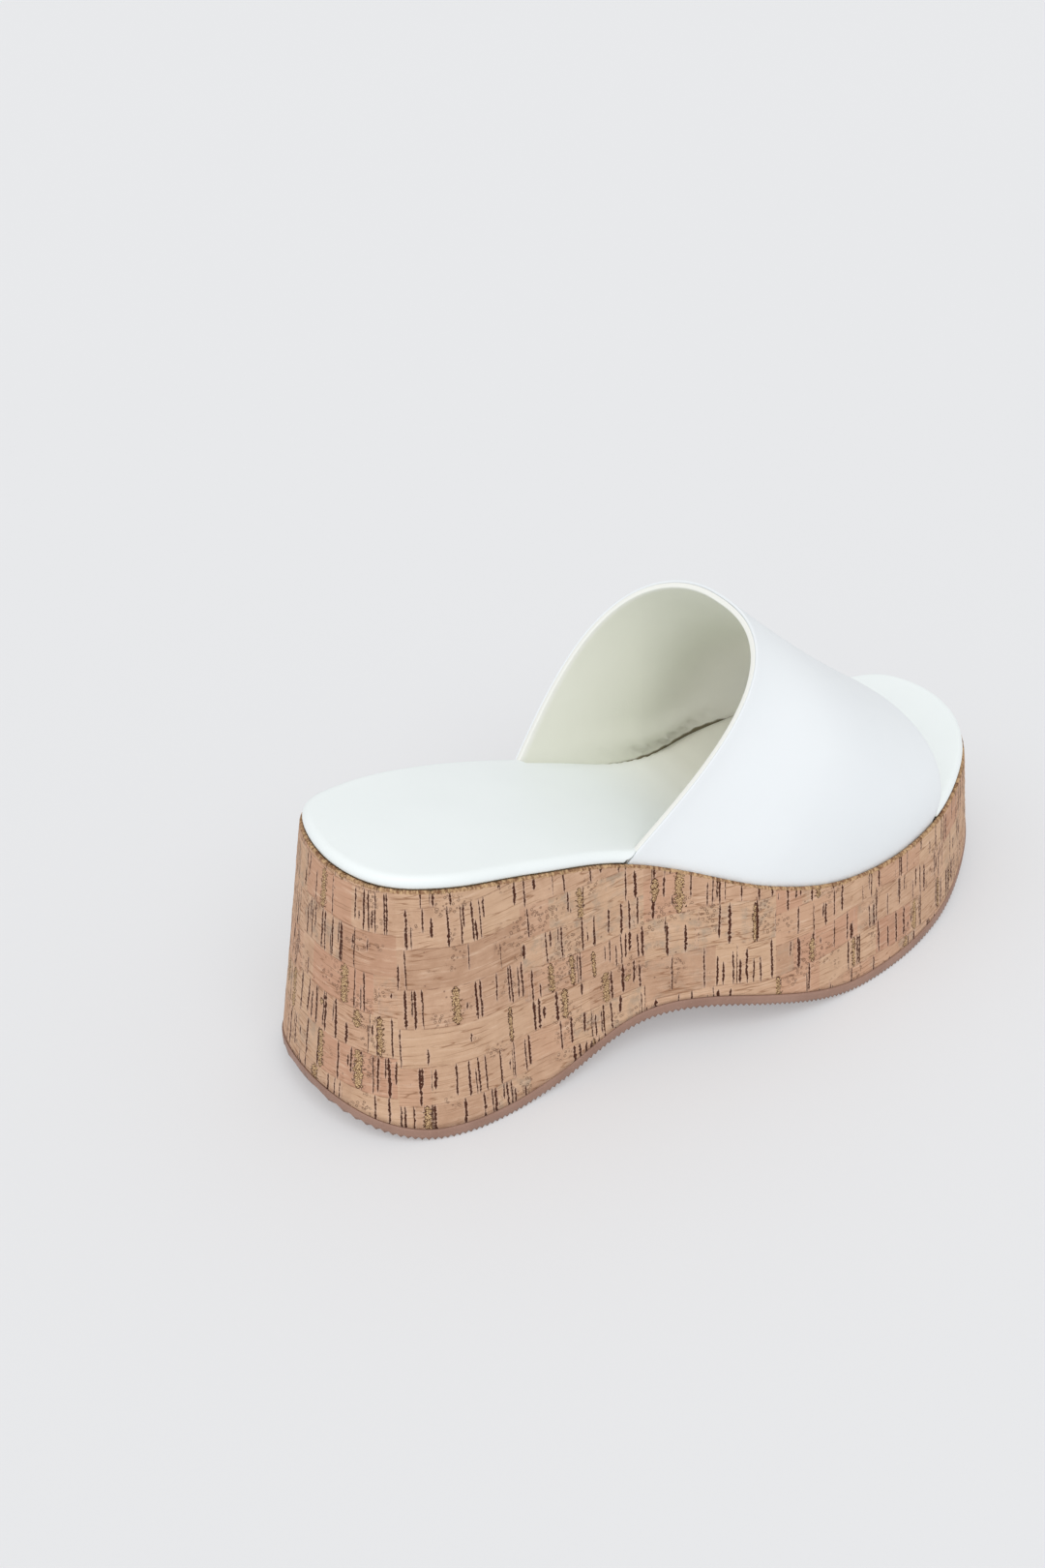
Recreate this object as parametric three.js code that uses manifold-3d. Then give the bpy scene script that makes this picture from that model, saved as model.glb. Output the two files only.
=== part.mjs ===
// Wedge slide sandal for the right foot: a wide open-toe band upper on a cork-wrapped wedge platform.
// Millimetres, +Z up, +X towards the toes, +Y towards the big-toe side.
// Every piece is set out from the platform's top edge, whose heel is at x = 0. The finished group is
// then moved so that the middle of its footprint stands on the origin.

import * as THREE from "three";
import { mergeVertices } from "three/addons/utils/BufferGeometryUtils.js";
import ManifoldModule from "manifold-3d";

// ---- Platform shape ----------------------------------------------------------------------------

const LENGTH = 245; // platform's top edge, from heel to toe
const GAP = 0.3; // clearance between pieces that touch on the real sandal

// Side-to-side position of the top edge at equal steps of a half turn from the heel to the toe, where
// x is half the length times one minus the cosine of the turn. Both ends come out round.
const EDGE_Y = {
  outer: [-4, -23.3, -32.8, -33.2, -33.4, -47, -48, -39.8, -24, -5, 16],
  inner: [-4, 18.5, 25.8, 29.4, 29.4, 31.2, 44.2, 46.5, 41.5, 34, 16],
};
// Height of the top edge at equal steps of the length, from heel to toe.
const EDGE_Z = [81.4, 78.6, 73.2, 66.5, 58, 48.3, 41, 38.4, 38.5, 40, 41.6];

// The side wall leans outwards on its way down, most of all at the heel and on the inner side.
const FLARE = { toe: 3.6, heel: 8.5, power: 2.2, inner: 2.5 };

// Underside: flat under the heel and the ball, arched between, curving up at both ends.
const HEEL_FLAT = [17, 36];
const BALL_FLAT = [161, 175];
const ARCH_RISE = 12.2;
const HEEL_CURVE = 0.012; // rise per square millimetre behind the heel flat
const TOE_CURVE = 0.002; // rise per square millimetre ahead of the ball flat

const OUTSOLE = { thickness: 3.6, proud: 0.4 };
const WRAP = { thickness: 1.2, lip: 0.9, seam: 0.44 };

// ---- Layers of the footbed, as heights above or below the platform's top edge --------------------

const RECESS = 5.4; // depth of the core's top below the edge
const FILLER = { low: -5.1, high: -2.1 };
const BOARD = { low: -1.8, high: 0 };
const COVER = { low: 0.3, high: 3.8, thickness: 0.8, inset: 0.8, roll: 2.4 };
const FOAM_TOP = COVER.high - COVER.thickness - GAP;

// Where the upper stands between the footbed and the platform's edge, the footbed is narrower. These are
// the stretches in which its width changes, behind and in front of the upper.
const UPPER_ZONE = {
  outer: { heel: [77.2, 80.5], toe: [198.6, 202] },
  inner: { heel: [77.2, 80.5], toe: [206.8, 210.2] },
};
const SIDE_INSET = WRAP.thickness + GAP;
const BOARD_INSET = 4.6; // of the board and the cover inside the upper
const FILLER_INSET = 14.2; // of the filler between the lasting margins

const SHANK = { from: 38, to: 150, y: -1, width: 12, low: -3.7, high: -2.3 };
const RIVETS = { shank_rivet_heel: 48, shank_rivet_waist: 140 };
const RIVET = { shaft: 1.5, head: 2.8, headHeight: 0.6, low: -4.5, high: -0.1 };

// ---- Upper -------------------------------------------------------------------------------------

// The two free edges of the band. Each springs from the platform's edge at x, rises to the apex, and
// is a superellipse of the given power pushed out sideways by the bulge.
const THROAT = {
  apex: new THREE.Vector3(141.5, 8, 115.2),
  outer: { x: 82, power: 2.7, bulge: 3.5 },
  inner: { x: 81.5, power: 2.1, bulge: 16.5 },
};
const TOE_OPENING = {
  apex: new THREE.Vector3(202.2, 0, 65.5),
  outer: { x: 197.3, power: 2.1, bulge: 3.3 },
  inner: { x: 205.5, power: 2.1, bulge: 4.5 },
};
const CREST_SAG = 1.8; // how far the crest between the two apexes runs below a straight line
const MARGIN = { width: 12, depth: 5, radius: 3.2 }; // part turned in under the insole board
// Depth of each layer of the upper below its outer face.
const LAYERS = { outer: [0, 0.8], interlining: [1.1, 1.5], lining: [1.8, 2.5] };
const TAPE_WIDTH = 0.05; // of the reinforcing tapes, as a share of the band from throat to toe opening

const SECTIONS = 44; // along the platform
const BAND_SECTIONS = 16; // along the upper
const ARCH_STEPS = 11; // from the platform's edge to the crest

// ---- Materials ---------------------------------------------------------------------------------

const material = (color, roughness, metalness = 0) =>
  new THREE.MeshStandardMaterial({ color, roughness, metalness });

const MATERIALS = {
  outsole_rubber: material(0xa58273, 0.75),
  core_foam: material(0xd9cdb8, 0.9),
  cork: material(0xc2a086, 0.85),
  filler_felt: material(0xb9b3a6, 0.95),
  insole_fibreboard: material(0x9c8566, 0.9),
  shank_steel: material(0x9a9da1, 0.4, 0.9),
  cushion_foam: material(0xe9e4d4, 0.95),
  insole_white: material(0xebf2f0, 0.45),
  upper_white: material(0xe9edf1, 0.4),
  interlining_fabric: material(0xdcd8cf, 0.95),
  lining_cream: material(0xd8dacd, 0.6),
};

// ---- Curves ------------------------------------------------------------------------------------

/** A smooth function of a share from 0 to 1 that passes through equally spaced values. */
function splineThrough(values) {
  const points = values.map((value, i) => new THREE.Vector3(i, value, 0));
  const curve = new THREE.CatmullRomCurve3(points, false, "catmullrom", 0.5);
  return (share) => curve.getPoint(THREE.MathUtils.clamp(share, 0, 1)).y;
}

const edgeY = { outer: splineThrough(EDGE_Y.outer), inner: splineThrough(EDGE_Y.inner) };
const edgeZAtShare = splineThrough(EDGE_Z);
const edgeZ = (x) => edgeZAtShare(x / LENGTH);
const edgeX = (turn) => (LENGTH / 2) * (1 - Math.cos(Math.PI * turn));
const turnAt = (x) => Math.acos(1 - (2 * x) / LENGTH) / Math.PI;

/** Point of the platform's top edge in plan, moved outwards by outset along the edge's normal. */
function edgePoint(side, turn, outset) {
  const at = (t) => new THREE.Vector2(edgeX(t), edgeY[side](t));
  const normal = new THREE.Vector2(turn < 0.5 ? -1 : 1, 0);
  if (turn > 0 && turn < 1) {
    const step = 0.001;
    const along = at(Math.min(turn + step, 1)).sub(at(Math.max(turn - step, 0)));
    normal.set(along.y, -along.x).normalize();
    if (side === "inner") normal.negate();
  }
  return at(turn).addScaledVector(normal, outset);
}

/** Height of the outsole's underside. */
function undersideZ(x) {
  if (x < HEEL_FLAT[0]) return HEEL_CURVE * (HEEL_FLAT[0] - x) ** 2;
  if (x > BALL_FLAT[1]) return TOE_CURVE * (x - BALL_FLAT[1]) ** 2;
  if (x < HEEL_FLAT[1] || x > BALL_FLAT[0]) return 0;
  const share = (x - HEEL_FLAT[1]) / (BALL_FLAT[0] - HEEL_FLAT[1]);
  return ARCH_RISE * Math.sin(Math.PI * share) ** 2;
}

const outsoleTopZ = (x) => undersideZ(x) + OUTSOLE.thickness;

/** How far the foot of the side wall stands out from the top edge. */
function flareAt(x, side) {
  const fromToe = 1 - x / LENGTH;
  const extra = side === "inner" ? FLARE.inner * Math.sin(Math.PI * turnAt(x)) : 0;
  return FLARE.toe + (FLARE.heel - FLARE.toe) * fromToe ** FLARE.power + extra;
}

/** How far the side wall has leaned out at a depth below the top edge. */
const leanAt = (x, side, depth) => (flareAt(x, side) * depth) / (edgeZ(x) - outsoleTopZ(x));

/** 1 where the upper stands on the platform, 0 at the heel and the toe. */
function upperZone(x, side) {
  const { heel, toe } = UPPER_ZONE[side];
  return THREE.MathUtils.smoothstep(x, ...heel) * (1 - THREE.MathUtils.smoothstep(x, ...toe));
}

/** An inset from the platform's edge that grows from one value to another where the upper stands. */
const insetInZone = (plain, inUpper) => (x, side) => plain + (inUpper - plain) * upperZone(x, side);

// ---- Closed bodies -----------------------------------------------------------------------------

/** A BufferGeometry from corners and triangles, with shared corners merged and faces facing out. */
function closedGeometry(corners, triangles) {
  const loose = new THREE.BufferGeometry();
  loose.setAttribute("position", new THREE.Float32BufferAttribute(corners.flatMap((c) => c.toArray()), 3));
  loose.setIndex(triangles.flat());
  const merged = mergeVertices(loose, 1e-3);
  const index = Array.from(merged.index.array);
  const faces = [];
  for (let i = 0; i < index.length; i += 3) {
    const face = index.slice(i, i + 3);
    if (new Set(face).size === 3) faces.push(face);
  }
  if (volumeOf(merged, faces) < 0) faces.forEach((face) => face.reverse());
  merged.setIndex(faces.flat());
  merged.computeVertexNormals();
  return merged;
}

function volumeOf(geometry, faces) {
  const corner = (i) => new THREE.Vector3().fromBufferAttribute(geometry.attributes.position, i);
  return faces.reduce((sum, [a, b, c]) => sum + corner(a).dot(corner(b).cross(corner(c))) / 6, 0);
}

/**
 * A body through a row of rings of points. A ring runs along one face and back along the other, so
 * point j lies across from point n - 1 - j, and open ends are closed by a ladder between the two.
 */
function loft(rings, closedEnds = true) {
  const size = rings[0].length;
  const triangles = [];
  const quad = (a, b, c, d) => triangles.push([a, b, c], [a, c, d]);
  for (let i = 0; i + 1 < rings.length; i++) {
    for (let j = 0; j < size; j++) {
      const next = (j + 1) % size;
      quad(i * size + j, i * size + next, (i + 1) * size + next, (i + 1) * size + j);
    }
  }
  if (closedEnds) {
    const last = (rings.length - 1) * size;
    for (let j = 0; j + 1 < size / 2; j++) {
      const across = size - 1 - j;
      quad(j, across, across - 1, j + 1);
      quad(last + j, last + j + 1, last + across - 1, last + across);
    }
  }
  return closedGeometry(rings.flat(), triangles);
}

const flatTurns = [...HEEL_FLAT, ...BALL_FLAT].map((x, i) => turnAt(x + (i % 2 ? -1 : 1)));
const evenTurns = Array.from({ length: SECTIONS + 1 }, (_, i) => i / SECTIONS);
const zoneEnds = Object.values(UPPER_ZONE).flatMap(({ heel, toe }) => [...heel, ...toe]);
const zoneTurns = [...new Set(zoneEnds)].map(turnAt);
const TURNS = [...evenTurns, ...flatTurns, ...zoneTurns].sort((a, b) => a - b);

/** A corner of a section: a point outset(x, side) outside the platform's edge, at height z(x). */
const corner = (outset, z) => (side, turn) => {
  const plan = edgePoint(side, turn, outset(edgeX(turn), side));
  return new THREE.Vector3(plan.x, plan.y, z(plan.x));
};

/** A body from heel to toe whose section has the same corners, from low to high, on both sides. */
function slab(corners) {
  const rings = TURNS.map((turn) => [
    ...corners.map((at) => at("outer", turn)),
    ...corners.map((at) => at("inner", turn)).reverse(),
  ]);
  return loft(rings, false);
}

/** A tray turned upside down, whose outer and inner faces each have corners from low to high. */
function tray(outside, inside) {
  const rings = TURNS.map((turn) => [
    ...outside.map((at) => at("outer", turn)),
    ...outside.map((at) => at("inner", turn)).reverse(),
    ...inside.map((at) => at("inner", turn)),
    ...inside.map((at) => at("outer", turn)).reverse(),
  ]);
  return loft(rings, false);
}

/** A strip along x, following the top edge's height, between two depths. */
function stripAlong({ from, to, y, width, low, high }, steps = 24) {
  const rings = Array.from({ length: steps + 1 }, (_, i) => {
    const x = from + ((to - from) * i) / steps;
    const at = (side, height) => new THREE.Vector3(x, y + (side * width) / 2, edgeZ(x) + height);
    return [at(-1, low), at(-1, high), at(1, high), at(1, low)];
  });
  return loft(rings);
}

// ---- Booleans ----------------------------------------------------------------------------------

const manifold = await ManifoldModule();
manifold.setup();

function toSolid(geometry) {
  const bare = geometry.clone();
  bare.deleteAttribute("normal");
  bare.deleteAttribute("uv");
  const merged = mergeVertices(bare, 1e-3);
  const mesh = new manifold.Mesh({
    numProp: 3,
    vertProperties: new Float32Array(merged.attributes.position.array),
    triVerts: new Uint32Array(merged.index.array),
  });
  return new manifold.Manifold(mesh);
}

/** A geometry with others cut out of it. */
function cut(geometry, ...cutters) {
  const solid = cutters.reduce((left, cutter) => left.subtract(toSolid(cutter)), toSolid(geometry));
  const { vertProperties, triVerts } = solid.getMesh();
  const result = new THREE.BufferGeometry();
  result.setAttribute("position", new THREE.Float32BufferAttribute(vertProperties, 3));
  result.setIndex(Array.from(triVerts));
  result.computeVertexNormals();
  return result;
}

// ---- Platform pieces ---------------------------------------------------------------------------

function outsole() {
  const outset = (x, side) => flareAt(x, side) + OUTSOLE.proud;
  return slab([corner(outset, undersideZ), corner(outset, outsoleTopZ)]);
}

function wedgeCore() {
  const foot = corner((x, side) => flareAt(x, side) - SIDE_INSET, (x) => outsoleTopZ(x) + GAP);
  const shoulder = corner(
    (x, side) => leanAt(x, side, RECESS) - SIDE_INSET,
    (x) => edgeZ(x) - RECESS,
  );
  return slab([foot, shoulder]);
}

/** The cork veneer round the platform, in one strip with a butt joint on the inner waist. */
function corkWrap() {
  const { thickness, lip, seam } = WRAP;
  const wall = (depth, inset) =>
    corner((x, side) => leanAt(x, side, depth) - inset, (x) => edgeZ(x) - depth);
  const foot = (inset) =>
    corner((x, side) => flareAt(x, side) - inset, (x) => outsoleTopZ(x) + GAP);
  const section = [
    foot(0),
    wall(lip, 0),
    wall(lip * 0.3, lip * 0.25),
    wall(0, lip * 0.8),
    wall(lip * 0.2, thickness),
    foot(thickness),
  ];
  const halfGap = GAP / 2 / (LENGTH * Math.PI * 0.5);
  const before = TURNS.filter((turn) => turn < seam - halfGap);
  const after = TURNS.filter((turn) => turn > seam + halfGap);
  const round = [
    ...[seam + halfGap, ...after].map((turn) => ["inner", turn]),
    ...TURNS.slice(1, -1).reverse().map((turn) => ["outer", turn]),
    ...[...before, seam - halfGap].map((turn) => ["inner", turn]),
  ];
  return loft(round.map(([side, turn]) => section.map((at) => at(side, turn))));
}

// ---- Footbed pieces ----------------------------------------------------------------------------

/** A flat layer of the footbed between two heights, inset from the platform's edge. */
function layer({ low, high }, inset) {
  const at = (height) => corner((x, side) => -inset(x, side), (x) => edgeZ(x) + height);
  return slab([at(low), at(high)]);
}

/** A straight pin of the given radius through the layers, square to the footbed at x. */
function pinAt(x, radius, low, high) {
  const pin = new THREE.CylinderGeometry(radius, radius, high - low, 24);
  pin.rotateX(Math.PI / 2);
  pin.translate(0, 0, (low + high) / 2);
  return squareToFootbed(pin, x);
}

function squareToFootbed(geometry, x) {
  const slope = Math.atan2(edgeZ(x + 1) - edgeZ(x - 1), 2);
  geometry.rotateY(-slope);
  geometry.translate(x, SHANK.y, edgeZ(x));
  return geometry;
}

function rivet(x) {
  const { shaft, head, headHeight, low, high } = RIVET;
  const profile = [
    [0, low],
    [head, low],
    [head, low + headHeight],
    [shaft, low + headHeight],
    [shaft, high - headHeight],
    [head, high - headHeight],
    [head, high],
    [0, high],
  ];
  const turned = new THREE.LatheGeometry(profile.map(([r, z]) => new THREE.Vector2(r, z)), 24);
  turned.rotateX(Math.PI / 2);
  return squareToFootbed(turned, x);
}

const rivetHoles = () =>
  Object.values(RIVETS).map((x) => pinAt(x, RIVET.shaft + GAP, -RECESS - 2, COVER.high));

function bottomFiller() {
  const slot = {
    ...SHANK,
    from: SHANK.from - GAP,
    to: SHANK.to + GAP,
    width: SHANK.width + 2 * GAP,
    low: FILLER.low - 1,
    high: FILLER.high + 1,
  };
  return cut(layer(FILLER, insetInZone(SIDE_INSET, FILLER_INSET)), stripAlong(slot));
}

const shank = () => cut(stripAlong(SHANK), ...rivetHoles());

function insoleBoard() {
  const countersinks = Object.values(RIVETS).map((x) =>
    pinAt(x, RIVET.head + GAP, RIVET.high - RIVET.headHeight - GAP, COVER.high),
  );
  const board = layer(BOARD, insetInZone(SIDE_INSET, BOARD_INSET));
  return cut(board, ...rivetHoles(), ...countersinks);
}

const insoleFoam = () => {
  const wallAndGap = COVER.thickness + GAP;
  const inset = insetInZone(COVER.inset + wallAndGap, BOARD_INSET + wallAndGap);
  const edge = (height, extra) =>
    corner((x, side) => -inset(x, side) - extra, (x) => edgeZ(x) + height);
  return slab([edge(COVER.low, 0), edge(FOAM_TOP - 1, 0), edge(FOAM_TOP, 1.2)]);
};

/** White cover of the insole: flat on top, rolled down over the foam's edge all round. */
function insoleCover() {
  const { low, high, thickness, inset, roll } = COVER;
  const plainInset = insetInZone(inset, BOARD_INSET);
  const at = (height, extra) =>
    corner((x, side) => -plainInset(x, side) - extra, (x) => edgeZ(x) + height);
  const rolled = (radius, top, wall) =>
    [0, 30, 60, 90].map((degrees) => {
      const angle = THREE.MathUtils.degToRad(degrees);
      return at(top - radius * (1 - Math.sin(angle)), wall + radius * (1 - Math.cos(angle)));
    });
  return tray(
    [at(low, 0), ...rolled(roll, high, 0)],
    [at(low, thickness), ...rolled(roll - thickness, high - thickness, thickness)],
  );
}

// ---- Upper pieces ------------------------------------------------------------------------------

const between = (name, side, key, v) =>
  THREE.MathUtils.lerp(THROAT[side][key], TOE_OPENING[side][key], v);

/** One side of the band's outer face at v, from the end of its lasting margin up to the crest. */
function halfPath(side, v) {
  const turn = turnAt(between("x", side, "x", v));
  const out = side === "outer" ? -1 : 1;
  const base = corner(() => -SIDE_INSET, edgeZ)(side, turn);
  const marginAt = (inset, depth) =>
    corner(() => -SIDE_INSET - inset, (x) => edgeZ(x) - depth)(side, turn);
  const turnIn = [90, 60, 30, 0].map((degrees) => {
    const angle = THREE.MathUtils.degToRad(degrees);
    const { radius, depth } = MARGIN;
    return marginAt(radius * (1 - Math.cos(angle)), depth - radius * (1 - Math.sin(angle)));
  });
  const apex = THROAT.apex.clone().lerp(TOE_OPENING.apex, v);
  apex.z -= CREST_SAG * 4 * v * (1 - v);
  const power = 2 / between("power", side, "power", v);
  const bulge = between("bulge", side, "bulge", v) * out;
  const rise = Array.from({ length: ARCH_STEPS + 1 }, (_, i) => {
    const angle = (Math.PI / 2) * (i / ARCH_STEPS);
    const across = Math.max(Math.cos(angle), 0) ** power;
    const up = Math.sin(angle) ** power;
    return new THREE.Vector3(
      base.x + (apex.x - base.x) * up,
      apex.y + (base.y - apex.y) * across + bulge * Math.sin(2 * angle),
      base.z + (apex.z - base.z) * up,
    );
  });
  return [marginAt(MARGIN.width, MARGIN.depth), ...turnIn, ...rise];
}

function bandRow(v) {
  return [...halfPath("outer", v), ...halfPath("inner", v).reverse().slice(1)];
}

/** A grid of points moved by depth towards the foot, square to the surface. */
function sink(grid, depth) {
  const clampRow = (i) => grid[THREE.MathUtils.clamp(i, 0, grid.length - 1)];
  return grid.map((row, i) =>
    row.map((point, j) => {
      const before = row[Math.max(j - 1, 0)];
      const after = row[Math.min(j + 1, row.length - 1)];
      const across = after.clone().sub(before);
      const along = clampRow(i + 1)[j].clone().sub(clampRow(i - 1)[j]);
      return point.clone().addScaledVector(across.cross(along).normalize(), depth);
    }),
  );
}

/** One layer of the band, between two depths below its outer face and two shares of its length. */
function bandLayer([shallow, deep], from = 0, to = 1) {
  const steps = Math.max(2, Math.round(BAND_SECTIONS * (to - from)));
  const rows = Array.from({ length: steps + 1 }, (_, i) => bandRow(from + ((to - from) * i) / steps));
  const face = sink(rows, shallow);
  const back = sink(rows, deep);
  return loft(face.map((row, i) => [...row, ...back[i].reverse()]));
}

// ---- Assembly ----------------------------------------------------------------------------------

const { outer, interlining, lining } = LAYERS;
const tapeEnd = 0.01 + TAPE_WIDTH;
const pieces = {
  outsole: [outsole(), MATERIALS.outsole_rubber],
  wedge_core: [wedgeCore(), MATERIALS.core_foam],
  cork_wrap: [corkWrap(), MATERIALS.cork],
  bottom_filler: [bottomFiller(), MATERIALS.filler_felt],
  shank: [shank(), MATERIALS.shank_steel],
  insole_board: [insoleBoard(), MATERIALS.insole_fibreboard],
  insole_foam: [insoleFoam(), MATERIALS.cushion_foam],
  insole_cover: [insoleCover(), MATERIALS.insole_white],
  upper_outer: [bandLayer(outer), MATERIALS.upper_white],
  upper_interlining: [bandLayer(interlining, tapeEnd + 0.01, 0.99 - tapeEnd), MATERIALS.interlining_fabric],
  throat_tape: [bandLayer(interlining, 0.01, tapeEnd), MATERIALS.interlining_fabric],
  toe_opening_tape: [bandLayer(interlining, 1 - tapeEnd, 0.99), MATERIALS.interlining_fabric],
  upper_lining: [bandLayer(lining), MATERIALS.lining_cream],
};
for (const [name, x] of Object.entries(RIVETS)) pieces[name] = [rivet(x), MATERIALS.shank_steel];

const sandal = new THREE.Group();
for (const [name, [geometry, finish]] of Object.entries(pieces)) {
  const mesh = new THREE.Mesh(geometry, finish);
  mesh.name = name;
  sandal.add(mesh);
}

const box = new THREE.Box3().setFromObject(sandal);
const middle = box.getCenter(new THREE.Vector3());
sandal.position.set(-middle.x, -middle.y, -box.min.z);

export default sandal;
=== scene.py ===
import math

import bmesh
import bpy
import numpy as np
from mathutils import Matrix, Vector


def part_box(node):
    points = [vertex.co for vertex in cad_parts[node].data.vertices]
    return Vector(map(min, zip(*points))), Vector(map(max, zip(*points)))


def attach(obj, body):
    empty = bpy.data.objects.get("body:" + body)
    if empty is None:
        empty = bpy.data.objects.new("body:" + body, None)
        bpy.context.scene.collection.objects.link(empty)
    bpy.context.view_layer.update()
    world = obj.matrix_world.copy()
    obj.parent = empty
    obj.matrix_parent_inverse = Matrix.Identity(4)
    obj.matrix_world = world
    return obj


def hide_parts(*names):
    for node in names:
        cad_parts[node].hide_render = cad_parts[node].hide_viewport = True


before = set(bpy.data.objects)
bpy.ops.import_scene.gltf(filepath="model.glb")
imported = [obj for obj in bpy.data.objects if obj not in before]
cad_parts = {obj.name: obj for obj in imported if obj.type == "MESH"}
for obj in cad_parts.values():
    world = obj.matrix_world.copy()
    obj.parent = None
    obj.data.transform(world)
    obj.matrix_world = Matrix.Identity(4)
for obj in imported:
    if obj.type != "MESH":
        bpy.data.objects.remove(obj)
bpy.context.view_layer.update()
MM = 0.001

# ---- Driving dimensions, in millimetres ----------------------------------------------------------
# Points are worked out from the heel of the platform's top edge, as in the CAD model, and then moved to
# the row frame.

LENGTH = 245.0
EDGE_Y = {
    "outer": [-4, -23.3, -32.8, -33.2, -33.4, -47, -48, -39.8, -24, -5, 16],
    "inner": [-4, 18.5, 25.8, 29.4, 29.4, 31.2, 44.2, 46.5, 41.5, 34, 16],
}
EDGE_Z = [81.4, 78.6, 73.2, 66.5, 58, 48.3, 41, 38.4, 38.5, 40, 41.6]
FLARE_TOE, FLARE_HEEL, FLARE_POWER, FLARE_INNER = 3.6, 8.5, 2.2, 2.5
HEEL_FLAT, BALL_FLAT = (17, 36), (161, 175)
ARCH_RISE, HEEL_CURVE, TOE_CURVE = 12.2, 0.012, 0.002
OUTSOLE_THICKNESS, OUTSOLE_PROUD = 3.6, 0.4
RIB_PITCH, RIB_DEPTH = 1.7, 0.95
WRAP_THICKNESS, WRAP_LIP = 1.2, 0.9
WRAP_SEAM, WRAP_SEAM_GAP = 0.44, 0.0002  # the butt joint's turn on the inner side, and half its width
COVER_LOW, COVER_HIGH, COVER_ROLL = 0.12, 3.8, 2.4
COVER_INSET, COVER_INSET_IN_UPPER = 0.8, 4.4
ARCH_SUPPORT = 3.6  # how far the footbed rises at its inner edge under the band
SIDE_INSET = 1.5
APEX = {"throat": np.array([141.5, 8, 115.2]), "toe": np.array([202.2, 0, 65.5])}
SIDES = {
    "outer": {"x": (82, 197.3), "power": (2.7, 2.1), "bulge": (3.5, 3.3)},
    "inner": {"x": (81.5, 205.5), "power": (2.1, 2.1), "bulge": (16.5, 4.5)},
}
BULGE_HEIGHT = 40  # height over which a side of the band bulges out at the throat
CREST_SAG = 1.8
MARGIN_WIDTH, MARGIN_DEPTH, MARGIN_RADIUS = 12, 5, 3.2
BAND_LENGTH = 95.0  # from throat to toe opening, on average
INNER_SIDE_Y = 20  # points of the band beyond this y belong to its inner side

# The heel of the top edge in the row frame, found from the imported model's own boxes.
_outsole_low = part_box("outsole")[0]
_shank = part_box("shank")
ORIGIN = np.array([
    _outsole_low[0] / MM + FLARE_HEEL + OUTSOLE_PROUD,
    (_shank[0][1] + _shank[1][1]) / 2 / MM + 1,
    0,
])


# ---- Curves --------------------------------------------------------------------------------------

def spline_through(values):
    """A smooth function of a share from 0 to 1 that passes through equally spaced values."""
    ends = [2 * values[0] - values[1], *values, 2 * values[-1] - values[-2]]
    knots = np.array(ends, float)

    def at(share):
        place = np.clip(share, 0, 1) * (len(values) - 1)
        k = np.minimum(np.floor(place).astype(int), len(values) - 2)
        t = place - k
        a, b, c, d = (knots[k + i] for i in range(4))
        return 0.5 * (
            2 * b + (c - a) * t + (2 * a - 5 * b + 4 * c - d) * t**2 + (3 * b - a - 3 * c + d) * t**3
        )

    return at


edge_y = {side: spline_through(values) for side, values in EDGE_Y.items()}
edge_z_at_share = spline_through(EDGE_Z)


def edge_z(x):
    return edge_z_at_share(x / LENGTH)


def edge_x(turn):
    """x at a turn, which runs from 0 at the heel to 1 at the toe on either side."""
    return LENGTH / 2 * (1 - np.cos(np.pi * turn))


def turn_at(x):
    return np.arccos(np.clip(1 - 2 * np.asarray(x, float) / LENGTH, -1, 1)) / np.pi


def smooth_step(x, low, high):
    share = np.clip((x - low) / (high - low), 0, 1)
    return share * share * (3 - 2 * share)


def edge_point(side, turn, outset):
    """x and y of the platform's top edge, moved outwards along its normal by outset."""
    low, high = np.maximum(turn - 0.001, 0), np.minimum(turn + 0.001, 1)
    along_x = edge_x(high) - edge_x(low)
    along_y = edge_y[side](high) - edge_y[side](low)
    out = 1 if side == "outer" else -1
    normal = np.stack([along_y, -along_x], -1) * out
    normal /= np.linalg.norm(normal, axis=-1, keepdims=True)
    normal[turn <= 0] = (-1, 0)
    normal[turn >= 1] = (1, 0)
    plan = np.stack([edge_x(turn), edge_y[side](turn)], -1)
    return plan + normal * np.reshape(outset, (-1, 1))


def underside_z(x):
    """Height of the outsole's underside at the tips of its ribs."""
    share = (x - HEEL_FLAT[1]) / (BALL_FLAT[0] - HEEL_FLAT[1])
    arch = np.where((share > 0) & (share < 1), ARCH_RISE * np.sin(np.pi * share) ** 2, 0)
    heel = HEEL_CURVE * np.minimum(x - HEEL_FLAT[0], 0) ** 2
    toe = TOE_CURVE * np.maximum(x - BALL_FLAT[1], 0) ** 2
    return arch + heel + toe


def outsole_top_z(x):
    return underside_z(x) + OUTSOLE_THICKNESS


def flare_at(turn, side):
    """How far the foot of the side wall stands out from the top edge."""
    from_toe = 1 - edge_x(turn) / LENGTH
    extra = FLARE_INNER * np.sin(np.pi * turn) if side == "inner" else 0
    return FLARE_TOE + (FLARE_HEEL - FLARE_TOE) * from_toe**FLARE_POWER + extra


def band_edge_x(side, end, height):
    """x of the band's free edge (0 throat, 1 toe opening) at a height above the platform's edge."""
    foot, apex = SIDES[side]["x"][end], list(APEX.values())[end]
    return foot + (apex[0] - foot) * height / (apex[2] - edge_z(foot))


def beside_upper(x, side, height):
    """1 where the upper stands on that side of the footbed at that height, 0 at heel and toe."""
    near, far = 0.4, 1.5  # how far beyond the band's edges the change ends and starts
    rear, front = (band_edge_x(side, end, height) for end in (0, 1))
    return smooth_step(x, rear - far, rear - near) * (1 - smooth_step(x, front + near, front + far))


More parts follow.
